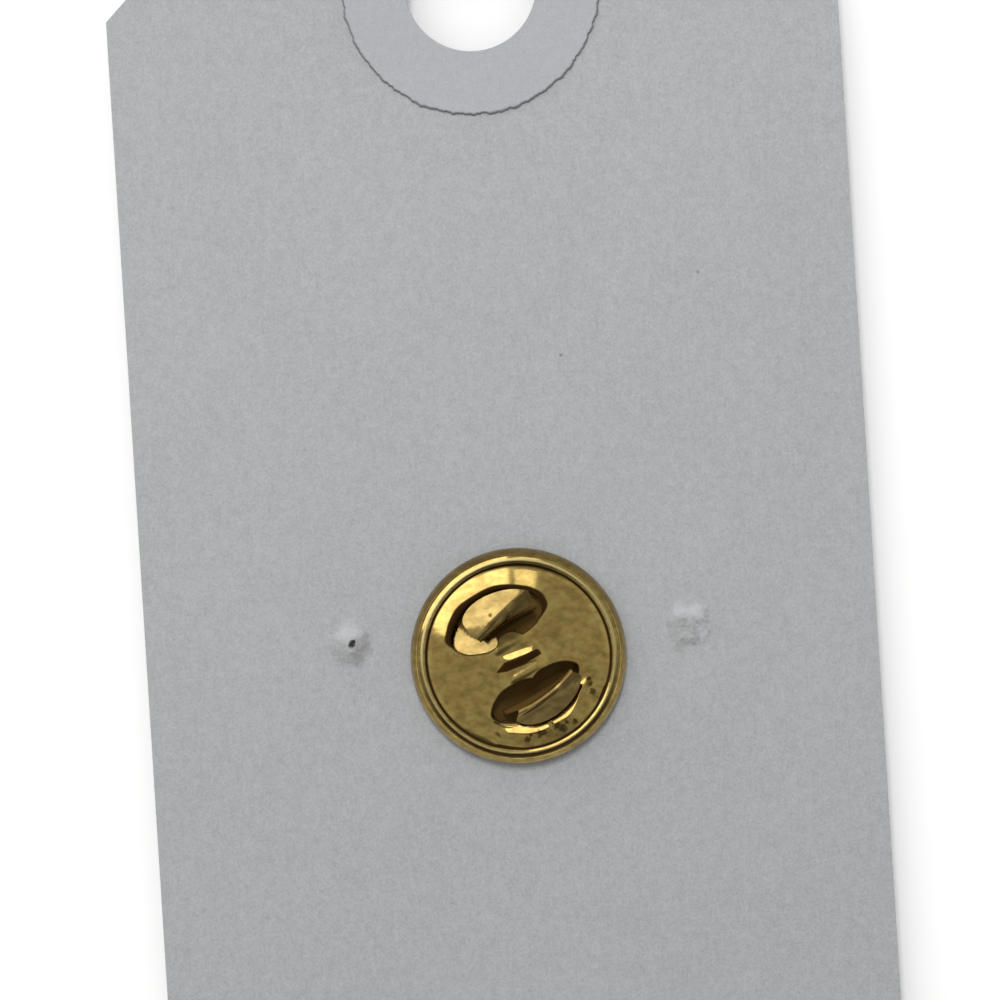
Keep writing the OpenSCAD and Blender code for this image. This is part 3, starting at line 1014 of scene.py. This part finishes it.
def cover_painted_shade(tree):
    """The painted shade that the cover's mesh holds, and more painted shade all round its foot, under the
    bead.
    """
    return math_node(tree, "MAXIMUM", held_painted_shade(tree), clutch_band(tree, 5.07, 5.17, 0.9))


def clutch_spots():
    """Dark spots on the cover, below the lower pocket and at its right."""
    places = (
        (-0.24, 4.18, 0.12), (-1.89, 4.3, 0.26), (-1.6, 4.14, 0.14), (-1.08, 4.34, 0.3), (-0.85, 4.4, 0.2),
        (-0.09, 4.42, 0.3), (0.14, 4.72, 0.32), (0.5, 4.5, 0.2), (0.92, 4.71, 0.22), (2.76, 3.02, 0.22),
        (2.68, 3.3, 0.26), (2.64, 3.78, 0.26),
    )
    return [(*on_clutch(along, down), radius, 1.6) for along, down, radius in places]


def pin_gold(tarnish):
    """The pin's plating, evenly dulled."""
    return plated_metal(
        "pin_gold", tarnish, bright=(0.9, 0.65, 0.25), dull=DULL_GOLD, roughness=0.24, dents=0.004, size=0.6,
    )


def rim_gold(tarnish):
    """The base's plating: rubbed bright on the bead, with painted shade beside it."""
    return plated_metal(
        "rim_gold", tarnish, bright=BRIGHT_GOLD, dull=DULL_GOLD, roughness=0.07, dents=0.003,
        rubbed=rim_rubbed, darkening=rim_painted_shade,
    )


def cover_gold(tarnish, spot):
    """The cover's plating, spotted about the lower pocket, with painted shade at its edges and foot."""
    return plated_metal(
        "cover_gold", tarnish, bright=BRIGHT_GOLD, dull=DULL_GOLD, roughness=0.07, dents=0.004,
        spotted=lambda tree: joined_spots(tree, spot, clutch_spots()), darkening=cover_painted_shade,
    )


def spring_gold(tarnish, spot):
    """The wings' darker plating, with one spot on the upper leaf and brown painted shade."""
    leaf_spot = (*on_clutch(-0.2, -2.85), 0.16, 0.5)
    return plated_metal(
        "spring_gold", tarnish, bright=(0.62, 0.445, 0.16), dull=(0.52, 0.36, 0.12), roughness=0.09,
        dents=0.004, spotted=lambda tree: joined_spots(tree, spot, [leaf_spot]), darkening=held_painted_shade,
        shade_tone=(0.115, 0.066, 0.018),
    )


# Floor, light and camera


def pale_floor():
    """A plain pale floor under the part."""
    bpy.ops.object.select_all(action="DESELECT")
    bpy.ops.mesh.primitive_plane_add(size=3.0, location=(0, 0, 0))
    floor = bpy.context.object
    floor.name = "pale_floor"
    material, _, shader = new_material("floor_white")
    shader.inputs["Base Color"].default_value = (0.98, 0.98, 0.98, 1)
    matt_finish(shader, roughness=0.95, shine=0.0)
    floor.data.materials.append(material)


def hang_light(lamp, place, way):
    """Hangs a lamp at a place, with its back to the way that is given."""
    light = bpy.data.objects.new(lamp.name, lamp)
    light.location = place
    light.rotation_euler = way.to_track_quat("Z", "Y").to_euler()
    bpy.context.scene.collection.objects.link(light)
    return light


def window_light(name, start, end, top, bottom, radiance):
    """An upright soft light between two directions from +X and two angles from overhead, in degrees."""
    away = 0.6
    middle, half = math.radians((start + end) / 2), math.radians((end - start) / 2)
    high, low = away / math.tan(math.radians(top)), away / math.tan(math.radians(bottom))
    lamp = bpy.data.lights.new(name, "AREA")
    lamp.shape = "RECTANGLE"
    lamp.size, lamp.size_y = 2 * away * math.tan(half), high - low
    lamp.energy = radiance * math.pi * lamp.size * lamp.size_y
    lamp.color = (1.0, 0.99, 0.96)
    way = Vector((math.cos(middle), math.sin(middle), 0)) * away
    hang_light(lamp, way + Vector((0, POST_Y * MM, (high + low) / 2)), way)


def sky_way(turn, tilt):
    """The way that is turned so far from +X and tilted so far from overhead, in degrees."""
    turn, tilt = math.radians(turn), math.radians(tilt)
    return Vector((math.sin(tilt) * math.cos(turn), math.sin(tilt) * math.sin(turn), math.cos(tilt)))


def key_light():
    """A small high light for short soft shadows, kept out of reflections."""
    lamp = bpy.data.lights.new("key_light", "AREA")
    lamp.shape, lamp.size, lamp.energy = "SQUARE", 0.2, 2.95
    away, way = 0.8, sky_way(95, 30)
    light = hang_light(lamp, way * away, way)
    light.visible_glossy = False


def reflected_room(tree):
    """How bright reflections find the room: dim, darker on one side and near overhead, with a faint ring."""
    way = add_node(tree, "ShaderNodeTexCoord").outputs["Generated"]
    height = add_node(tree, "ShaderNodeSeparateXYZ", {0: way}).outputs["Z"]
    to_dark_side = vector_node(tree, "DOT_PRODUCT", way, sky_way(289.4, 90), "Value")
    room = ramp(tree, to_dark_side, 0.62, 0.93, low=0.235, high=0.11, kind="LINEAR")
    ring = math_node(tree, "MULTIPLY", ramp(tree, height, 0.8, 0.86), ramp(tree, height, 0.99, 0.975))
    ring = math_node(tree, "MULTIPLY", ring, ramp(tree, to_dark_side, 0.3, 0.1))
    room = math_node(tree, "MULTIPLY_ADD", ring, 0.05, room)
    to_shade = vector_node(tree, "DOT_PRODUCT", way, sky_way(270, 22), "Value")
    return math_node(tree, "MULTIPLY", room, ramp(tree, to_shade, 0.95, 0.985, low=1.0, high=0.25))


def room_light():
    """A soft even room for matt surfaces, and a dimmer one for reflections."""
    world = bpy.data.worlds.new("soft_room")
    bpy.context.scene.world = world
    world.use_nodes = True
    tree = world.node_tree
    back = tree.nodes["Background"]
    mirrored = add_node(tree, "ShaderNodeLightPath").outputs["Is Glossy Ray"]
    strength = add_node(tree, "ShaderNodeMix", {"Factor": mirrored, "A": 0.5, "B": reflected_room(tree)})
    tree.links.new(strength.outputs[0], back.inputs["Strength"])
    back.inputs["Color"].default_value = (1, 1, 1, 1)


def photo_camera():
    """A camera straight above the card, turned as the photograph is."""
    sensor, away, width = 36, 240.0, 56.43
    over_x, over_y, turn = -0.16, 2.66, -3.62
    camera = bpy.data.cameras.new("camera")
    camera.sensor_width = sensor
    camera.lens = sensor * away / width
    camera.clip_start, camera.clip_end = 0.01, 20
    view = bpy.data.objects.new("camera", camera)
    bpy.context.scene.collection.objects.link(view)
    view.location = Vector((over_x, over_y, CARD_TOP + away)) * MM
    view.rotation_euler = (0, 0, math.radians(turn))
    bpy.context.scene.camera = view


def main():
    """Makes the materials and the pieces, then the floor, the lights and the camera."""
    grain, spot, tarnish = grain_effect(), spot_effect(), tarnish_effect()
    tag_card(tag_paper(grain, spot))
    patch_ring(patch_paper(grain))
    worn_pin(pin_gold(tarnish))
    rolled_base(rim_gold(tarnish))
    pressed_cover(cover_gold(tarnish, spot))
    both_wings(spring_gold(tarnish, spot))
    pale_floor()
    window_light("window_light", start=93.2, end=162.9, top=8, bottom=75, radiance=1.1)
    window_light("side_window_light", start=72.5, end=88.9, top=32, bottom=52, radiance=0.78)
    key_light()
    room_light()
    photo_camera()
    bpy.context.scene.view_settings.view_transform = "Standard"


main()
bpy.context.view_layer.update()
